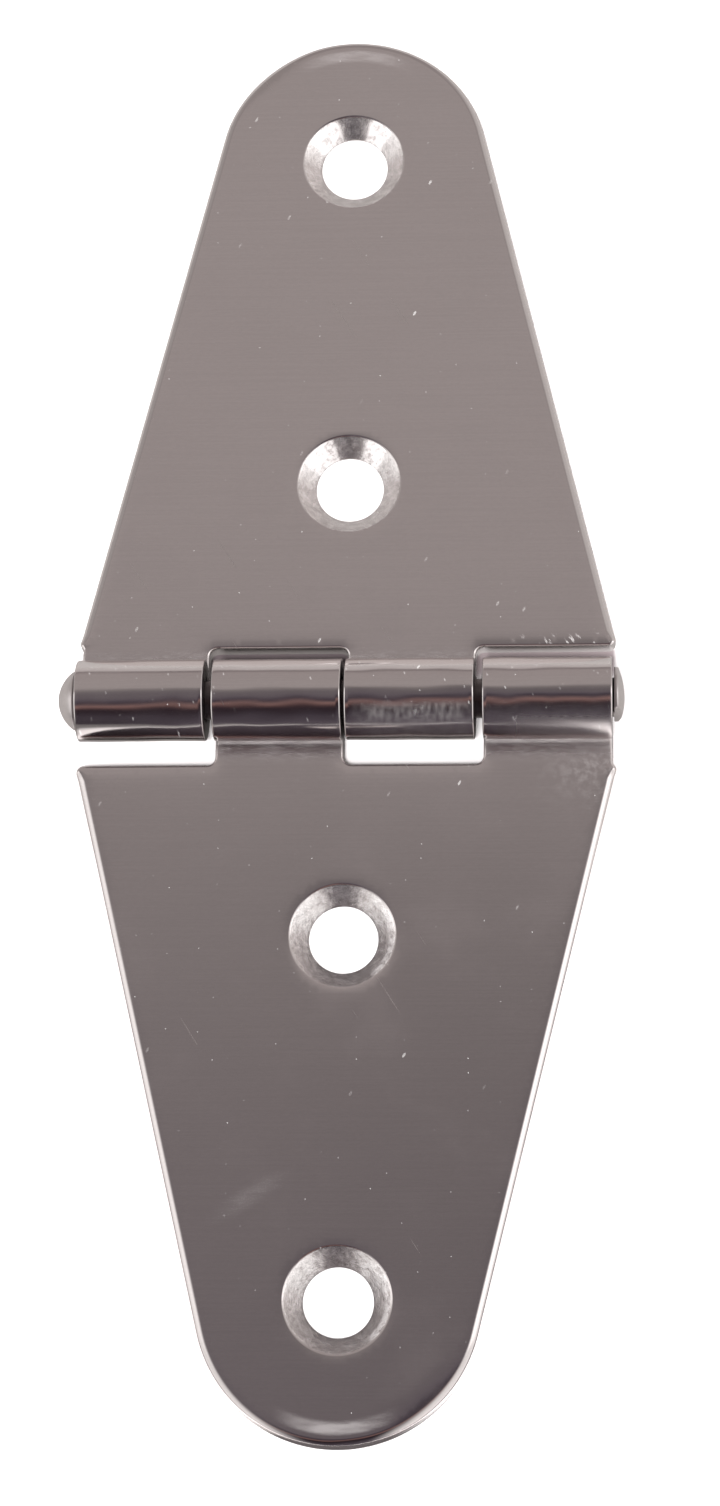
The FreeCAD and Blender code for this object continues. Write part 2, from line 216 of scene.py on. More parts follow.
def nearest(points, others):
    """Distance from each point to the nearest of the others."""
    points, others = np.asarray(points, float), np.asarray(others, float)
    best = np.full(len(points), np.inf)
    batch = 200
    for start in range(0, len(others), batch):
        gaps = points[:, None, :] - others[None, start : start + batch, :]
        best = np.minimum(best, np.hypot(gaps[..., 0], gaps[..., 1]).min(axis=1))
    return best


def triangle_grid(outline, step):
    """Points of an even triangular grid over the box of an outline."""
    low_x, high_x = min(p[0] for p in outline), max(p[0] for p in outline)
    low_y, high_y = min(p[1] for p in outline), max(p[1] for p in outline)
    row_step = step * 0.866
    grid = []
    for row in range(int((high_y - low_y) / row_step) + 1):
        for column in range(int((high_x - low_x) / step) + 2):
            grid.append((low_x + (column - (row % 2) / 2) * step, low_y + row * row_step))
    return grid


def fill_face(shape, loops, height, step, facing_up, clearance):
    """Triangles over a flat face with holes; loops of point numbers, the outer one first."""
    flat, numbers, edges, outlines = [], [], [], []
    for loop in loops:
        start = len(flat)
        outlines.append([shape.points[n][:2] for n in loop])
        flat += outlines[-1]
        numbers += loop
        edges += [(start + i, start + (i + 1) % len(loop)) for i in range(len(loop))]
    outer, *holes = outlines
    grid = triangle_grid(outer, step)
    far = nearest(grid, flat) > clearance
    for point, clear in zip(grid, far):
        if clear and inside(point, outer) and not any(inside(point, hole) for hole in holes):
            flat.append(point)
            numbers.append(shape.add(*point, height))
    keep_inside, tolerance = 1, 1e-7
    made = delaunay_2d_cdt([Vector(p) for p in flat], edges, [], keep_inside, tolerance)
    triangles, sources = made[2], made[3]
    rims = [set(loop) for loop in loops[1:]]
    for triangle in triangles:
        face = [numbers[sources[n][0]] for n in triangle]
        # A triangle between three points of one round hole's rim lies in the hole.
        if not any(rim.issuperset(face) for rim in rims):
            shape.faces.append(tuple(face if facing_up else reversed(face)))


def hole_profile():
    """A countersunk hole from the front face to the back: radius and height."""
    rim, bore, back = SINK_RIM_ROUND, SINK_BORE_ROUND, HOLE_BACK_ROUND
    tangent = math.tan(math.radians(22.5))
    slanted = bore * tangent * math.sqrt(0.5)
    start = SINK_RADIUS + rim * tangent
    profile = []
    for i in range(5):
        angle = math.radians(45 * i / 4)
        profile.append((start - rim * math.sin(angle), THICKNESS - rim * (1 - math.cos(angle))))
    bore_edge = THICKNESS - (SINK_RADIUS - HOLE_RADIUS)
    cone_start, cone_end = profile[-1], (HOLE_RADIUS + slanted, bore_edge + slanted)
    for i in range(1, CONE_STEPS + 1):
        profile.append(tuple(a + (b - a) * i / CONE_STEPS for a, b in zip(cone_start, cone_end)))
    for i in range(1, 4):
        angle = math.radians(45 + 45 * i / 3)
        level = bore_edge - bore * tangent + bore * math.cos(angle)
        profile.append((HOLE_RADIUS + bore * (1 - math.sin(angle)), level))
    profile.append((HOLE_RADIUS, back))
    profile.append((HOLE_RADIUS + back * 0.3, back * 0.3))
    profile.append((HOLE_RADIUS + back, 0))
    return profile


def level_across(left, right, inset, depth):
    """One level of a tongue's section, from its left side to its right."""
    width = right - left - 2 * inset
    return [(left + inset + width * i / KNUCKLE_STEPS, depth) for i in range(KNUCKLE_STEPS + 1)]


def curl_stations():
    """How far round the pin each section of a curl stands, in degrees, and how far it is drawn in."""
    closing = math.asin((KNUCKLE_RADIUS - THICKNESS - CURL_GAP) / KNUCKLE_RADIUS)
    whole = 270 + math.degrees(closing)
    lip_turn = math.degrees(LIP_ROUND / (KNUCKLE_RADIUS - THICKNESS / 2))
    steps = math.ceil((whole - lip_turn) / CURL_STEP)
    stations = [((whole - lip_turn) * i / steps, 0.0) for i in range(1, steps + 1)]
    lip_steps = 4
    for i in range(1, lip_steps + 1):
        angle = math.pi / 2 * i / lip_steps
        turn = whole - lip_turn * (1 - math.sin(angle))
        stations.append((turn, LIP_ROUND * (1 - math.cos(angle))))
    return stations


def roll_tongue(shape, left_side, right_side, left, right, front_row, back_row):
    """Rolls the end of a tongue round the pin line: under it, up, over the top and down."""
    row = front_row + right_side[1:-1] + back_row + left_side[-2:0:-1]
    for turn, shrink in curl_stations():
        front_round = NOTCH_ROUND + (BORE_ROUND - NOTCH_ROUND) * smooth(turn / 40)
        levels = rim_profile(front_round, BACK_ROUND, shrink)
        section = level_across(left, right, *levels[0])
        section += [(right - inset, depth) for inset, depth in levels[1:-1]]
        section += reversed(level_across(left, right, *levels[-1]))
        section += [(left + inset, depth) for inset, depth in levels[-2:0:-1]]
        angle = math.radians(turn)
        new_row = []
        for x, depth in section:
            radius = KNUCKLE_RADIUS - depth
            if depth < THICKNESS / 2:
                # The outside isn't quite even: rolling has left it a little swollen and streaked.
                way_round = radius * angle
                swell = noise.noise(Vector((x * 0.34, way_round * 0.45, left)))
                streak = noise.noise(Vector((x * 0.3, way_round * 1.5, right)))
                hollow = SWELL_DEPTH * (0.8 + swell) + STREAK_DEPTH * (1 + streak)
                radius -= min(1.0, turn / 60) * hollow
            y, z = -radius * math.sin(angle), KNUCKLE_RADIUS - radius * math.cos(angle)
            new_row.append(shape.add(x, y, z))
        shape.strip(new_row, row, closed=True)
        row = new_row
    shape.faces.append(tuple(reversed(row)))


def add_edge(shape, outline):
    """The edge of the sheet along an outline: a column of points, front to back, for each sample."""
    columns = []
    for x, y, out_x, out_y in outline:
        levels = rim_profile(edge_round(y), BACK_ROUND)
        columns.append([shape.add(x - out_x * inset, y - out_y * inset, z) for inset, z in levels])
    for here, after in zip(columns, columns[1:]):
        shape.strip(here, after)
    return columns


def add_foot(shape, left_side, right_side):
    """Rows of points across a tongue's foot: on the front face to the right, on the back to the left."""
    rows = []
    for first, last in ((left_side[0], right_side[0]), (right_side[-1], left_side[-1])):
        start, end = shape.points[first], shape.points[last]
        between = [
            shape.add(start[0] + (end[0] - start[0]) * i / KNUCKLE_STEPS, 0, start[2])
            for i in range(1, KNUCKLE_STEPS)
        ]
        rows.append([first, *between, last])
    return rows


def add_hole(shape, centre):
    """A countersunk screw hole; gives its rims on the front and the back face."""
    rows = []
    for radius, z in hole_profile():
        row = []
        for i in range(HOLE_STEPS):
            angle = 2 * math.pi * i / HOLE_STEPS
            row.append(shape.add(radius * math.cos(angle), centre + radius * math.sin(angle), z))
        rows.append(row)
    for upper, lower in zip(rows, rows[1:]):
        shape.strip(upper, lower, closed=True)
    return rows[0], rows[-1]


def wear_front(shape, outline):
    """Draws the front face down a little, as the punch, the drill and the polishing wheel have done."""
    points = np.array(shape.points)
    x, y, z = points.T
    edge = np.array([sample[:2] for sample in outline])
    fine_edge = np.concatenate([edge[:-1] * (1 - s) + edge[1:] * s for s in (0, 0.25, 0.5, 0.75)])
    to_edge = np.maximum(nearest(points[:, :2], fine_edge) - NOTCH_ROUND, 0)
    near_curl = np.clip(y / 2.0, 0, 1)
    drop = EDGE_DROP * np.exp(-to_edge / EDGE_FADE) * near_curl
    for centre in HOLES:
        from_hole = np.hypot(x, y - centre) - SINK_RADIUS
        ring = SINK_DROP * np.exp(-((from_hole / SINK_FADE) ** 2))
        drop += np.where(from_hole > -SINK_WORN, ring, 0)
    # The wheel has taken more off one side of the tip.
    around_tip = np.degrees(np.arctan2(x, np.maximum(y - TIP_CENTRE, 0.01)))
    from_tip = TIP_RADIUS - np.hypot(x, y - TIP_CENTRE)
    reach = np.clip((TIP_REACH - from_tip) / TIP_FADE, 0, 1)
    side = np.clip(1 - ((around_tip - TIP_SIDE_ANGLE) / TIP_SIDE_SPREAD) ** 2, 0, 1)
    drop += TIP_DROP * reach**2 * side**2 * (y > TIP_CENTRE)
    on_front = (z > THICKNESS / 2) & (y > 0.01)
    points[on_front, 2] -= drop[on_front]
    shape.points = [tuple(point) for point in points]


def leaf_shape():
    """A leaf with its tip at +Y: sheet with drawn-in edges, countersunk holes and two rolled tongues."""
    shape = Shape()
    middle, around = leaf_outline()
    middle_columns, around_columns = add_edge(shape, middle), add_edge(shape, around)
    tongues = (
        (around_columns[-1], middle_columns[0], OUTER_LEFT, OUTER_RIGHT),
        (middle_columns[-1], around_columns[0], INNER_LEFT, INNER_RIGHT),
    )
    feet = [add_foot(shape, left_side, right_side) for left_side, right_side, _, _ in tongues]
    rims = [add_hole(shape, centre) for centre in HOLES]

    (outer_front, outer_back), (inner_front, inner_back) = feet
    front_loop = (
        [column[0] for column in around_columns]
        + outer_front[1:-1]
        + [column[0] for column in middle_columns]
        + inner_front[1:-1]
    )
    back_loop = (
        [column[-1] for column in around_columns]
        + outer_back[-2:0:-1]
        + [column[-1] for column in middle_columns]
        + inner_back[-2:0:-1]
    )
    front_loops = [front_loop, *(front for front, _ in rims)]
    back_loops = [back_loop, *(back for _, back in rims)]
    fill_face(shape, front_loops, THICKNESS, FACE_STEP, True, FACE_CLEARANCE)
    fill_face(shape, back_loops, 0, BACK_FACE_STEP, False, BACK_CLEARANCE)
    wear_front(shape, middle + around)
    for tongue, rows in zip(tongues, feet):
        roll_tongue(shape, *tongue, *rows)
    return shape


def dome_profile(top, rim, way):
    """A domed head's outline from near its top towards its rim: X and radius."""
    rise = abs(rim - top)
    radius = (HEAD_RADIUS**2 + rise**2) / (2 * rise)
    turn = math.asin(HEAD_RADIUS / radius)
    angles = [turn * i / DOME_STEPS for i in range(1, DOME_STEPS)]
    return [(top + way * radius * (1 - math.cos(a)), radius * math.sin(a)) for a in angles]


def pin_shape():
    """The pin: shank, domed head at -X and peened head at +X with one side sheared flat."""
    under_head, under_peened = -(ROW_HALF + HEAD_GAP), ROW_HALF + PEENED_GAP
    head_rim, head_top = under_head - HEAD_RIM, under_head - HEAD_HEIGHT
    peened_rim, peened_top = under_peened + PEENED_RIM, under_peened + PEENED_HEIGHT
    soft, fillet = 0.07, 0.05
    shank_start, shank_end = under_head + fillet, under_peened - fillet
    shank = [
        (shank_start + (shank_end - shank_start) * i / SHANK_STEPS, SHANK_RADIUS)
        for i in range(1, SHANK_STEPS + 1)
    ]
    profile = [
        *dome_profile(head_top, head_rim, 1),
        (head_rim - 0.02, HEAD_RADIUS - 0.04),
        (head_rim + 0.02, HEAD_RADIUS),
        (under_head - soft, HEAD_RADIUS),
        (under_head - soft * 0.3, HEAD_RADIUS - soft * 0.3),
        (under_head, HEAD_RADIUS - soft),
        (under_head, SHANK_RADIUS + fillet),
        (shank_start, SHANK_RADIUS),
        *shank,
        (under_peened, SHANK_RADIUS + fillet),
        (under_peened, HEAD_RADIUS - 0.04),
        (under_peened + 0.03, HEAD_RADIUS),
        (peened_rim, HEAD_RADIUS),
        *reversed(dome_profile(peened_top, peened_rim, -1)),
    ]

    shape = Shape()
    rows = []
    for x, radius in profile:
        dent = HEAD_DENT if abs(x) > ROW_HALF else SHANK_DENT
        row = []
        for i in range(PIN_STEPS):
            angle = 2 * math.pi * i / PIN_STEPS
            across, up = math.cos(angle), math.sin(angle)
            uneven = noise.noise(Vector((x * 0.9, across * 1.3, up * 1.3)))
            fine = noise.noise(Vector((x * 2.5, across * 4, up * 4)))
            here = radius - dent * (0.5 + 0.5 * uneven) - dent * 0.25 * (0.5 + 0.5 * fine)
            y = across * here
            if x > under_peened - 0.001:
                y = max(y, -PEENED_FLAT)
            row.append(shape.add(x, y, KNUCKLE_RADIUS + up * here))
        rows.append(row)
    for here, after in zip(rows, rows[1:]):
        shape.strip(here, after, closed=True)
    for row, x, at_start in ((rows[0], head_top, True), (rows[-1], peened_top, False)):
        pole = shape.add(x, 0, KNUCKLE_RADIUS)
        for here, after in zip(row, row[1:] + row[:1]):
            shape.faces.append((pole, after, here) if at_start else (pole, here, after))
    return shape


def add_piece(name, shape, half_turn, material):
    """A shape as a piece of the scene, in metres, with smooth faces."""
    way = -1 if half_turn else 1
    mesh = bpy.data.meshes.new(name)
    points = [(way * x * MM, way * y * MM, z * MM) for x, y, z in shape.points]
    mesh.from_pydata(points, [], shape.faces)
    mesh.update()
    mesh.polygons.foreach_set("use_smooth", [True] * len(mesh.polygons))
    mesh.materials.append(material)
    piece = bpy.data.objects.new(name, mesh)
    bpy.context.scene.collection.objects.link(piece)
    return piece


# Materials


def rgb(red, green, blue):
    return (red, green, blue, 1.0)


BLACK = rgb(0.0, 0.0, 0.0)
STEEL_LOW, STEEL_HIGH = rgb(0.80, 0.755, 0.748), rgb(0.86, 0.812, 0.805)
CUT_LOW, CUT_HIGH = rgb(0.66, 0.615, 0.605), rgb(0.88, 0.835, 0.825)
# A painted highlight for the countersinks' upper flanks.
CUT_HIGHLIGHT = rgb(0.97, 0.945, 0.94)
# Colours for a darker patch, for painted shade on the knuckles' ends, and for dust.
DARKER_LOW_TONE, END_SHADE, DUST = rgb(0.10, 0.092, 0.09), rgb(0.25, 0.23, 0.23), rgb(0.93, 0.91, 0.90)
PIN_LOW, PIN_HIGH = rgb(0.60, 0.565, 0.56), rgb(0.78, 0.74, 0.73)
# Painted shade for the pin's shank between the knuckles.
SHANK_SHADE = rgb(0.16, 0.14, 0.14)


class Nodes:
    """Short ways to add and join shader nodes."""

    def __init__(self, tree):
        self.tree = tree

    def add(self, kind, **settings):
        made = self.tree.nodes.new(f"ShaderNode{kind}")
        for name, value in settings.items():
            setattr(made, name, value)
        return made

    def put(self, socket, value):
        """Joins another node's output to a socket, or sets the socket to a plain value."""
        if hasattr(value, "is_linked"):
            self.tree.links.new(value, socket)
        else:
            socket.default_value = value

    def math(self, operation, *values):
        made = self.add("Math", operation=operation)
        for socket, value in zip(made.inputs, values):
            self.put(socket, value)
        return made.outputs[0]

    def product(self, first, *others):
        for value in others:
            first = self.math("MULTIPLY", first, value)
        return first

    def largest(self, first, *others):
        for value in others:
            first = self.math("MAXIMUM", first, value)
        return first

    def weighted(self, start, *parts):
        """A starting value plus each part times its weight."""
        for part, weight in parts:
            start = self.math("MULTIPLY_ADD", part, weight, start)
        return start

    def vector(self, operation, *values, scale=None):
        made = self.add("VectorMath", operation=operation)
        for socket, value in zip(made.inputs, values):
            self.put(socket, value)
        if scale is not None:
            self.put(made.inputs["Scale"], scale)
        return made.outputs["Value" if operation == "LENGTH" else "Vector"]

    def split(self, vector):
        """The X, Y and Z of a vector."""
        made = self.add("SeparateXYZ")
        self.put(made.inputs[0], vector)
        return made.outputs

    def turned(self, vector, angle, scale):
        """The vector turned about Z by degrees, then stretched."""
        made = self.add("Mapping")
        self.put(made.inputs["Vector"], vector)
        made.inputs["Rotation"].default_value = (0, 0, math.radians(angle))
        return self.vector("MULTIPLY", made.outputs[0], scale)

    def noise(self, vector, scale, detail, roughness, stretch=None):
        if stretch is not None:
            vector = self.vector("MULTIPLY", vector, stretch)
        made = self.add("TexNoise")
        self.put(made.inputs["Vector"], vector)
        self.put(made.inputs["Scale"], scale)
        self.put(made.inputs["Detail"], detail)
        self.put(made.inputs["Roughness"], roughness)
        return made.outputs["Fac"]

    def step(self, value, low, high, to_low=0.0, to_high=1.0):
        """A smooth step of a value from one level to another."""
        made = self.add("MapRange", interpolation_type="SMOOTHSTEP")
        for socket, level in zip(made.inputs, (value, low, high, to_low, to_high)):
            self.put(socket, level)
        return made.outputs[0]

    def mix(self, share, first, second):
        made = self.add("Mix", data_type="RGBA")
        self.put(made.inputs["Factor"], share)
        self.put(made.inputs["A"], first)
        self.put(made.inputs["B"], second)
        return made.outputs["Result"]


def new_material(name):
    """A material with an unset shader, ways to add nodes to it, and its places in millimetres."""
    material = bpy.data.materials.new(name)
    material.use_nodes = True
    material.node_tree.nodes.clear()
    n = Nodes(material.node_tree)
    shader = n.add("BsdfPrincipled")
    n.put(n.add("OutputMaterial").inputs["Surface"], shader.outputs[0])
    place = n.vector("SCALE", n.add("TexCoord").outputs["Object"], scale=1 / MM)
    return material, shader, n, place


def steel_places(n, place):
    """Where a point of the steel lies and faces, and the patterns that its marks share."""
    x, y, z = n.split(place)
    facing_x, facing_y, facing_z = n.split(n.add("TexCoord").outputs["Normal"])
    m = SimpleNamespace(place=place, x=x, y=y, z=z)
    m.facing_x, m.facing_y, m.facing_z = facing_x, facing_y, facing_z
    m.beside, m.along = n.math("ABSOLUTE", x), n.math("ABSOLUTE", y)
    m.sideways = n.math("ABSOLUTE", facing_x)
    m.low = n.step(z, 1.9, 1.6)
    m.patches = n.noise(place, 0.16, 3.0, 0.55)
    m.uneven = n.noise(place, 1.5, 4.0, 0.65, (0.35, 1.6, 1.0))
    m.chatter = n.noise(place, 1.9, 6.0, 0.72)
    m.grains = n.step(n.noise(place, 2.6, 4.0, 0.75, (0.5, 2.2, 2.2)), 0.4, 0.7)
    m.lines = n.noise(place, 1.0, 3.0, 0.6, (0.12, 9.0, 9.0))
    return m


def mark_knuckles(n, m):
    """A darker patch low on the first knuckle, scuffs on the third, wear on the fourth, painted shade on
    their ends.
    """
    # Darker on the low side of the first knuckle's right half.
    m.filmed = n.product(n.step(m.x, -11.0, -15.5), n.step(m.y, -1.8, -2.3), n.step(m.z, 1.9, 2.2))
    mottled = n.step(n.noise(m.place, 1.6, 6.0, 0.66, (1.8, 0.9, 0.9)), 0.22, 0.8)
    third = n.product(n.step(m.x, 0.2, 2.6), n.step(m.x, 9.8, 8.2, 0.2, 1.0))
    low_side = n.product(n.step(m.y, -0.85, -1.35), n.step(m.y, -2.5, -1.8, 0.35, 1.0))
    m.scuffed = n.product(third, low_side, n.step(m.z, 1.7, 2.2), mottled)
    m.worn = n.product(n.step(m.x, 10.0, 13.0), n.step(m.y, -1.6, -2.2), n.step(m.z, 1.6, 1.9))
    # Painted shade on the knuckles' ends, between the parts; the ends are also rougher.
    m.end_wall = n.product(n.step(m.sideways, 0.45, 0.85), n.step(m.along, NOTCH_EDGE, KNUCKLE_RADIUS))
    # The rubbed feet of the knuckles, and the light seam where a curl ends over its leaf.
    m.foot = n.product(n.step(m.along, 4.6, 3.2), m.low)
    seam = n.product(n.step(m.z, 2.05, 1.85), n.step(m.along, 3.05, 2.9), n.step(m.y, -2.9, -2.78))
    m.seam = n.product(seam, n.step(m.grains, 0.0, 1.0, 0.5, 1.0))


def mark_holes(n, m):
    """The drilled countersinks, rough from the cutter, with dull bright cuts and a painted highlight on
    their upper flanks.
    """
    from_holes = []
    for centre in HOLES:
        off = n.math("SUBTRACT", m.along, centre)
        squares = n.math("ADD", n.product(m.x, m.x), n.product(off, off))
        from_holes.append(n.math("SQRT", squares))
    m.from_tip_hole = from_holes[-1]
    m.ring = n.math("MINIMUM", *from_holes)
    cone = n.step(m.ring, SINK_RADIUS + 0.02, SINK_RADIUS - 0.1)
    m.cone = n.product(cone, n.step(m.facing_z, -0.8, -0.4))
    m.cut = n.product(m.cone, m.chatter)
    # A painted highlight where the upper flanks face the light.
    flank = n.product(m.cone, n.step(m.sideways, 0.3, 0.5), n.step(m.facing_y, 0.0, -0.3))
    m.flank = n.product(flank, n.step(m.chatter, 0.2, 0.6, 0.1, 0.8))

    # Less bright on the lower leaf, which has an outer arc on the right of its holes instead.
    right_side = n.product(n.step(m.facing_x, 0.0, -0.1), n.step(m.facing_y, -0.5, -0.4))
    bright = n.product(n.step(m.sideways, 0.18, 0.28), n.step(m.facing_y, -0.24, -0.38))
    bright = n.product(bright, n.math("SUBTRACT", 1.0, right_side), n.step(m.y, -1.0, 1.0, 0.14, 0.5))
    arc = n.product(n.step(m.ring, 3.05, 3.4), n.step(m.facing_x, -0.3, -0.55))
    arc = n.product(arc, n.step(m.y, 1.0, -1.0, 0.0, 0.3))
    m.bright_cuts = n.product(n.largest(bright, arc), m.cone, n.step(m.chatter, 0.38, 0.54, 0.4, 1.0))


def mark_leaves(n, m):
    """Marks on the flat of the leaves and along their edges."""
    # Short bright nicks along the notch edge behind the fourth knuckle.
    nicks = n.noise(n.turned(m.place, -35, (3.6, 0.9, 1.0)), 1.0, 2.0, 0.6)
    rising = n.step(m.y, NOTCH_EDGE + 0.15, NOTCH_EDGE + 0.3)
    falling = n.step(m.y, NOTCH_EDGE + 1.1, NOTCH_EDGE + 0.4)
    m.nicks = n.product(n.step(nicks, 0.6, 0.68), rising, falling, n.step(m.x, 11.0, 14.5))

    # A rubbed crescent near the tip, where the sheet was held.
    from_edge = n.math("SUBTRACT", TIP_RADIUS, m.from_tip_hole)
    crescent = n.product(n.step(from_edge, 0.75, 1.0), n.step(from_edge, 1.9, 1.45))
    crescent = n.product(crescent, n.step(m.beside, 4.6, 0.8))
    crescent = n.product(crescent, n.step(m.along, TIP_CENTRE + 6, TIP_CENTRE + 7))
    m.crescent = n.product(crescent, n.step(m.uneven, 0.3, 0.6, 0.45, 1.0))

    # A faint wiped smear on the lower leaf, and smudges by its right shoulder.
    wipe = n.turned(n.vector("SUBTRACT", m.place, (-6.2, -35.4, 0.0)), -32, (0.28, 1.1, 0.0))
    wiped = n.step(n.vector("LENGTH", wipe), 1.1, 0.1)
    m.smear = n.product(wiped, n.step(m.uneven, 0.35, 0.65, 0.4, 1.0))
    smudge = n.product(n.step(m.x, 12.5, 17.5), n.step(m.y, -8.5, -4.5), n.step(m.y, -2.7, -3.1))
    m.smudge = n.product(smudge, m.low, n.step(m.chatter, 0.42, 0.62))

    # The sheared rim of the sheet, a little dull, and painted shade at the start of its rounding.
    rim = n.product(n.step(m.facing_z, 0.6, 0.25), n.step(m.along, NOTCH_EDGE + 0.3, NOTCH_EDGE + 1))
    m.rim = n.product(rim, n.step(m.ring, SINK_RADIUS, SINK_RADIUS + 0.3))
    m.sanded = n.product(n.step(m.sideways, 0.35, 0.75), n.step(m.facing_y, 0.0, -0.2, 0.35, 0.85))
    turning = n.product(n.step(m.facing_z, 0.9995, 0.985), n.step(m.facing_z, 0.7, 0.9))
    turning = n.product(turning, n.step(m.along, NOTCH_EDGE, NOTCH_EDGE + 0.8))
    m.turning = n.product(turning, n.step(m.ring, SINK_RADIUS + 0.6, SINK_RADIUS + 1))

    # A few hair scratches.
    hairs = n.noise(n.turned(m.place, 58, (0.12, 6.5, 1.0)), 1.0, 1.0, 0.4)
    m.hair = n.product(n.step(hairs, 0.76, 0.82), n.step(n.noise(m.place, 0.35, 1.0, 0.5), 0.5, 0.62))


def mark_specks(n, m):
    """Tiny specks of dust and short slanted nicks, with more of them on the knuckles."""
    # Turn in degrees, squeeze, cells a millimetre, size in cells, rarity and where they lie.
    kinds = (
        (28, 0.4, 0.5, 0.05, 0.86, 1.0),
        (0, 1.0, 0.9, 0.05, 0.86, 1.0),
        (-20, 0.45, 1.1, 0.075, 0.6, n.step(m.z, 1.9, 2.3, 0.0, 0.65)),
    )
    dots = []
    for turn, squeeze, scale, size, rarity, where in kinds:
        cells = n.add("TexVoronoi", voronoi_dimensions="2D", feature="F1", distance="EUCLIDEAN")
        n.put(cells.inputs["Vector"], n.turned(m.place, turn, (1.0, squeeze, 1.0)))
        n.put(cells.inputs["Scale"], scale)
        drawn = n.add("SeparateColor")
        n.put(drawn.inputs[0], cells.outputs["Color"])
        dot = n.step(cells.outputs["Distance"], size, size * 0.5)
        chosen = n.step(drawn.outputs["Red"], rarity, rarity + 0.1)
        strength = n.step(drawn.outputs["Green"], 0.0, 1.0, 0.25, 1.0)
        dots.append(n.product(dot, chosen, strength, where))
    m.speck = n.product(n.largest(*dots), n.step(m.cone, 1.0, 0.0))


def steel_tone(n, m):
    """The steel's colour, with each mark laid over it."""
    cut_tone = n.mix(n.step(m.chatter, 0.35, 0.65), CUT_LOW, CUT_HIGH)
    grain = n.noise(m.place, 3.2, 3.0, 0.65, (1.0, 2.6, 2.6))
    grain = n.math("ADD", n.product(m.lines, 0.5), n.product(grain, 0.5))
    tone = n.mix(m.patches, STEEL_LOW, STEEL_HIGH)
    layers = (
        (n.product(m.filmed, 0.4), DARKER_LOW_TONE),
        (m.speck, DUST),
        # Painted shade on the knuckles' ends.
        (n.product(m.end_wall, 0.8), END_SHADE),
        (m.cone, cut_tone),
        # A painted highlight on the countersinks' upper flanks.
        (m.flank, CUT_HIGHLIGHT),
        # Painted shade at the start of the rounding.
        (n.product(m.turning, 0.14), BLACK),
        (n.step(grain, 0.38, 0.62, 0.035, 0.0), BLACK),
    )
    for share, colour in layers:
        tone = n.mix(share, tone, colour)
    return tone


def steel_dullness(n, m):
    """How much of the surface scatters light where the mirror is scratched, dusty or cut."""
    parts = (
        (m.speck, 0.32),
        (m.scuffed, 0.10),
        (n.product(m.foot, m.grains), 0.10),
        (m.seam, 0.25),
        (m.crescent, n.step(m.y, 1.0, -1.0, 0.11, 0.2)),
        (m.nicks, 0.45),
        (m.smear, 0.035),
        (m.smudge, 0.07),
        (m.cut, 0.10),
        (m.rim, m.sanded),
    )
    return n.largest(m.bright_cuts, *(n.product(part, weight) for part, weight in parts))


def polished_steel():
    """Polished sheet with faint rolling lines, haze, scuffs, scratches, specks, painted shade and a
    painted highlight.
    """
    material, steel, n, place = new_material("polished_steel")
    m = steel_places(n, place)
    mark_knuckles(n, m)
    mark_holes(n, m)
    mark_leaves(n, m)
    mark_specks(n, m)
    haze = n.step(m.patches, 0.5, 0.72)
    roughness = n.weighted(
        0.13,
        (haze, 0.05),
        (m.scuffed, 0.16),
        (m.foot, 0.16),
        (m.worn, 0.16),
        (m.hair, 0.2),
        (m.cut, 0.16),
        (m.rim, 0.2),
        (m.end_wall, 0.3),
    )
    ripples = n.noise(place, 2.2, 2.0, 0.5)
    height = n.weighted(0.0, (m.lines, 0.5), (ripples, 0.8), (m.hair, -0.8), (m.cut, 75.0))
    bump = n.add("Bump")
    n.put(bump.inputs["Height"], height)
    bump.inputs["Strength"].default_value = 1.0
    bump.inputs["Distance"].default_value = 0.0000006
    n.put(steel.inputs["Base Color"], steel_tone(n, m))
    n.put(steel.inputs["Roughness"], roughness)
    n.put(steel.inputs["Metallic"], n.math("SUBTRACT", 1.0, steel_dullness(n, m)))
    n.put(steel.inputs["Normal"], bump.outputs[0])
    return material


def pin_steel():
    """Tumbled steel, with painted shade on the shank between the knuckles."""
    material, steel, n, place = new_material("pin_steel")
    tumbled = n.noise(place, 3.0, 4.0, 0.6)
    along = n.math("ABSOLUTE", n.split(place)["X"])
    shank = n.step(along, ROW_HALF + 0.12, ROW_HALF + 0.05)
    # Painted shade on the shank between the knuckles.
    tone = n.mix(shank, n.mix(tumbled, PIN_LOW, PIN_HIGH), SHANK_SHADE)
    bump = n.add("Bump")
    n.put(bump.inputs["Height"], tumbled)
    bump.inputs["Distance"].default_value = 0.00001
    n.put(steel.inputs["Base Color"], tone)
    n.put(steel.inputs["Roughness"], n.weighted(0.26, (tumbled, 0.2)))
    steel.inputs["Metallic"].default_value = 1.0
    n.put(steel.inputs["Normal"], bump.outputs[0])
    return material


# The studio: a pale floor, a plain soft room and one wide lamp

FLOOR_HALF = 2.5
FLOOR_PALE = rgb(0.88, 0.845, 0.845)
# Painted shade on the floor in the slits behind the second and fourth knuckles.
SLIT_SHADE_LEFT, SLIT_SHADE_RIGHT = rgb(0.17, 0.138, 0.146), rgb(0.36, 0.30, 0.31)
# Painted reflections: the floor's colours where the steel mirrors it, dimmer than it is seen, with a
# painted shadow in front, painted shade on the left and painted light beside the lower leaf.
SLIT_MIRRORED = rgb(0.52, 0.50, 0.495)
MIRRORED_OPEN, MIRRORED_LEFT_SHADE = rgb(0.27, 0.257, 0.25), rgb(0.13, 0.122, 0.12)
MIRRORED_FRONT_SHADOW, MIRRORED_BESIDE_LIGHT = rgb(0.075, 0.068, 0.07), rgb(0.80, 0.77, 0.765)
# How far a leaf's side draws in for each millimetre away from the pin.
TAPER = 0.242

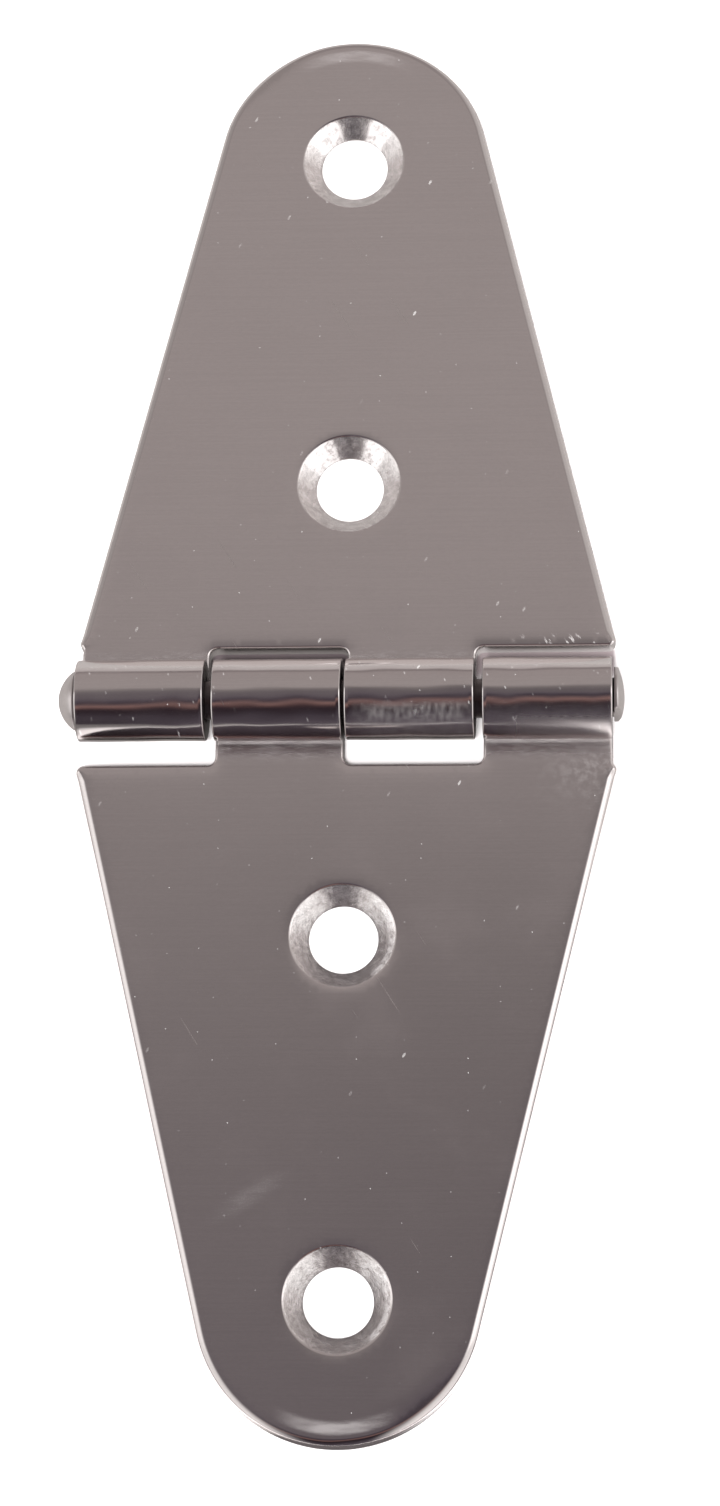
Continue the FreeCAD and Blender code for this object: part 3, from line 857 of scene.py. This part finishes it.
# The room's bands of light from -Y over the top to +Y: degrees from straight up, and colour.
ROOM_BANDS = (
    (-90, (0.095, 0.079, 0.095)),
    (-62, (0.055, 0.044, 0.055)),
    (-42, (0.025, 0.016, 0.021)),
    (-37, (0.028, 0.018, 0.024)),
    (-32, (0.09, 0.05, 0.05)),
    (-28, (0.21, 0.125, 0.115)),
    (-24, (0.25, 0.145, 0.13)),
    (-20, (0.13, 0.09, 0.095)),
    (-16, (0.044, 0.034, 0.043)),
    (-10, (0.075, 0.062, 0.078)),
    (-4, (0.125, 0.106, 0.12)),
    (1, (0.138, 0.119, 0.129)),
    (7.5, (0.166, 0.146, 0.153)),
    (11.5, (0.199, 0.176, 0.179)),
    (14.5, (0.238, 0.213, 0.212)),
    (16.5, (0.272, 0.244, 0.241)),
    (18.6, (0.352, 0.316, 0.309)),
    (27, (0.357, 0.321, 0.313)),
    (67, (0.345, 0.305, 0.298)),
    (73, (0.18, 0.15, 0.15)),
    (78, (0.53, 0.485, 0.475)),
    (90, (0.57, 0.53, 0.52)),
)
SIDE_FAR, SIDE_LOW = rgb(1.0, 0.97, 0.955), rgb(0.98, 0.955, 0.945)
SIDE_LEFT, SIDE_RIGHT = rgb(1.3, 1.265, 1.25), rgb(1.8, 1.75, 1.73)
BACK_LEFT, BACK_RIGHT = rgb(0.43, 0.40, 0.39), rgb(0.62, 0.585, 0.57)
TWICE_MIRRORED, BACKDROP = rgb(0.70, 0.66, 0.645), rgb(0.92, 0.92, 0.92)
SOFT_LIGHT, SOFT_OVERHEAD = rgb(2.3, 2.3, 2.3), rgb(0.12, 0.12, 0.12)


def mirrored_floor(n, x, y, wide, slit, last):
    """The floor's painted reflection, its colour where the steel mirrors it: dimmer than it is seen,
    with a painted shadow in front, painted shade on the left, and painted light beside the lower leaf
    and in the slit behind the fourth knuckle.
    """
    bearing = n.product(n.math("DIVIDE", x, n.math("MINIMUM", y, -1.0)), -1.0)
    # Painted shadow in front of the hinge, in the floor's reflection.
    in_front = n.product(n.step(bearing, -0.108, -0.08), n.step(bearing, 2.4, 1.7))
    in_front = n.product(in_front, n.step(y, 0.0, -10.0))
    # Painted shade on the left, in the floor's reflection.
    on_left = n.product(n.step(x, -14.0, -20.0), n.step(y, -6.0, -14.0))
    tone = n.mix(in_front, n.mix(on_left, MIRRORED_OPEN, MIRRORED_LEFT_SHADE), MIRRORED_FRONT_SHADOW)
    # Painted light beside the lower leaf, in the floor's reflection.
    from_side = n.math("MULTIPLY_ADD", n.math("ABSOLUTE", y), TAPER, wide)
    reach = n.step(y, -6.0, -14.0, 22.2, 27.5)
    beside = n.product(n.step(from_side, reach, 21.2), n.step(from_side, 19.7, 20.3))
    beside = n.product(beside, n.step(y, -4.0, -4.6))
    tone = n.mix(beside, tone, MIRRORED_BESIDE_LIGHT)
    # Painted light in the slit behind the fourth knuckle, in the floor's reflection.
    return n.mix(n.product(slit, last), tone, SLIT_MIRRORED)


def add_floor():
    """The stage's floor: pale, with painted contact shade in the slits behind the second and fourth
    knuckles, and painted reflections where the steel mirrors it.
    """
    half = FLOOR_HALF
    corners = [(-half, -half, 0), (half, -half, 0), (half, half, 0), (-half, half, 0)]
    mesh = bpy.data.meshes.new("floor")
    mesh.from_pydata(corners, [], [(0, 1, 2, 3)])
    floor = bpy.data.objects.new("floor", mesh)
    bpy.context.scene.collection.objects.link(floor)
    material, paint, n, place = new_material("pale_floor")
    x, y, _ = n.split(place)
    wide = n.math("ABSOLUTE", x)
    # Painted shade in the slits, where the camera sees the floor.
    slit = n.product(n.step(y, 2.0, 3.0), n.step(y, 4.7, 4.4), n.step(wide, 19.4, 19.0))
    last = n.step(x, 3.0, 10.0)
    shown = n.mix(slit, FLOOR_PALE, n.mix(last, SLIT_SHADE_LEFT, SLIT_SHADE_RIGHT))
    mirrored = mirrored_floor(n, x, y, wide, slit, last)
    # The camera sees the pale floor and its painted shade; the steel mirrors the painted reflection.
    seen = n.add("LightPath").outputs["Is Camera Ray"]
    n.put(paint.inputs["Base Color"], n.mix(seen, mirrored, shown))
    paint.inputs["Roughness"].default_value = 0.9
    paint.inputs["Specular IOR Level"].default_value = 0.0
    mesh.materials.append(material)


def room_bands(n, x, turn):
    """The bands of light, slanting in front of the hinge and a little darker on its right."""
    slant = n.product(n.step(x, -0.13, 0.0, -8.0, 7.0), n.step(turn, 4.0, -8.0))
    ramp = n.add("ValToRGB")
    n.put(ramp.inputs[0], n.math("MULTIPLY_ADD", n.math("SUBTRACT", turn, slant), 1 / 180, 0.5))
    elements = ramp.color_ramp.elements
    while len(elements) < len(ROOM_BANDS):
        elements.new(0.5)
    for element, (angle, colour) in zip(elements, ROOM_BANDS):
        element.position = angle / 180 + 0.5
        element.color = rgb(*colour)
    fade = n.product(n.step(x, -0.12, -0.02, 0.0, 0.14), n.step(turn, 16.2, 14.5))
    return n.mix(n.product(fade, n.step(turn, 0.0, 5.0)), ramp.outputs[0], BLACK)


def add_room():
    """The room that the steel mirrors: bands of light over the hinge, and pale sides."""
    world = bpy.data.worlds.new("room")
    bpy.context.scene.world = world
    world.use_nodes = True
    world.node_tree.nodes.clear()
    n = Nodes(world.node_tree)
    x, y, z = n.split(n.add("TexCoord").outputs["Generated"])
    left = n.product(x, -1.0)
    turn = n.product(n.math("ARCTAN2", y, z), 180 / math.pi)
    path = n.add("LightPath").outputs
    again = n.product(n.step(path["Glossy Depth"], 1.4, 1.6), n.step(turn, 48.7, 57.3))
    bands = n.mix(again, room_bands(n, x, turn), TWICE_MIRRORED)

    behind = n.mix(n.step(left, 0.3, 0.7), bands, BACK_LEFT)
    behind = n.mix(n.step(x, 0.2, 0.6), behind, BACK_RIGHT)
    nearer = n.step(y, -0.2, 0.0)
    before = n.mix(n.step(left, 0.25, 0.7), bands, n.mix(nearer, SIDE_FAR, SIDE_LEFT))
    before = n.mix(n.step(x, 0.2, 0.62), before, n.mix(nearer, SIDE_FAR, SIDE_RIGHT))
    low_sides = n.product(n.step(z, 0.36, 0.28), n.step(n.math("ABSOLUTE", x), 0.84, 0.92))
    before = n.mix(low_sides, before, SIDE_LOW)
    mirrored = n.mix(n.step(y, 0.12, 0.28), before, behind)

    overhead = n.product(n.step(turn, -26.0, -18.0), n.step(turn, 32.0, 24.0))
    colour = n.mix(path["Is Camera Ray"], mirrored, BACKDROP)
    colour = n.mix(path["Is Diffuse Ray"], colour, n.mix(overhead, SOFT_LIGHT, SOFT_OVERHEAD))
    light = n.add("Background")
    n.put(light.inputs["Color"], colour)
    n.put(n.add("OutputWorld").inputs["Surface"], light.outputs[0])


def add_lamp():
    """One wide lamp above; the steel doesn't mirror it."""
    lamp = bpy.data.lights.new("soft_lamp", "SUN")
    lamp.energy = 3.2
    lamp.angle = math.radians(10)
    lit = bpy.data.objects.new("soft_lamp", lamp)
    bpy.context.scene.collection.objects.link(lit)
    lit.rotation_euler = (math.radians(20), math.radians(-3), 0)
    lit.visible_glossy = False


def add_camera():
    """The photograph's view: from above the lower leaf, a little to the right of the middle."""
    camera = bpy.data.objects.new("camera", bpy.data.cameras.new("camera"))
    bpy.context.scene.collection.objects.link(camera)
    camera.data.lens = 92.68
    camera.data.sensor_width = 36
    camera.data.clip_start = 0.01
    camera.rotation_mode = "ZYX"
    camera.rotation_euler = (0.29514, 0.06552, -0.00628)
    bpy.context.view_layer.update()
    aim, distance = Vector((0.000965, -0.003095, 0)), 0.2771
    camera.location = aim + camera.rotation_euler.to_matrix().col[2] * distance
    bpy.context.scene.camera = camera


bpy.context.scene.view_settings.view_transform = "Standard"

polished, pin_finish = polished_steel(), pin_steel()
leaf = leaf_shape()
upper = add_piece("upper_leaf_sheet", leaf, False, polished)
lower = add_piece("lower_leaf_sheet", leaf, True, polished)
pin = add_piece("turned_pin", pin_shape(), False, pin_finish)

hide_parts("upper_leaf")
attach(upper, "upper_leaf")
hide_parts("lower_leaf")
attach(lower, "lower_leaf")
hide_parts("hinge_pin")
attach(pin, "upper_leaf")

add_floor()
add_room()
add_lamp()
add_camera()
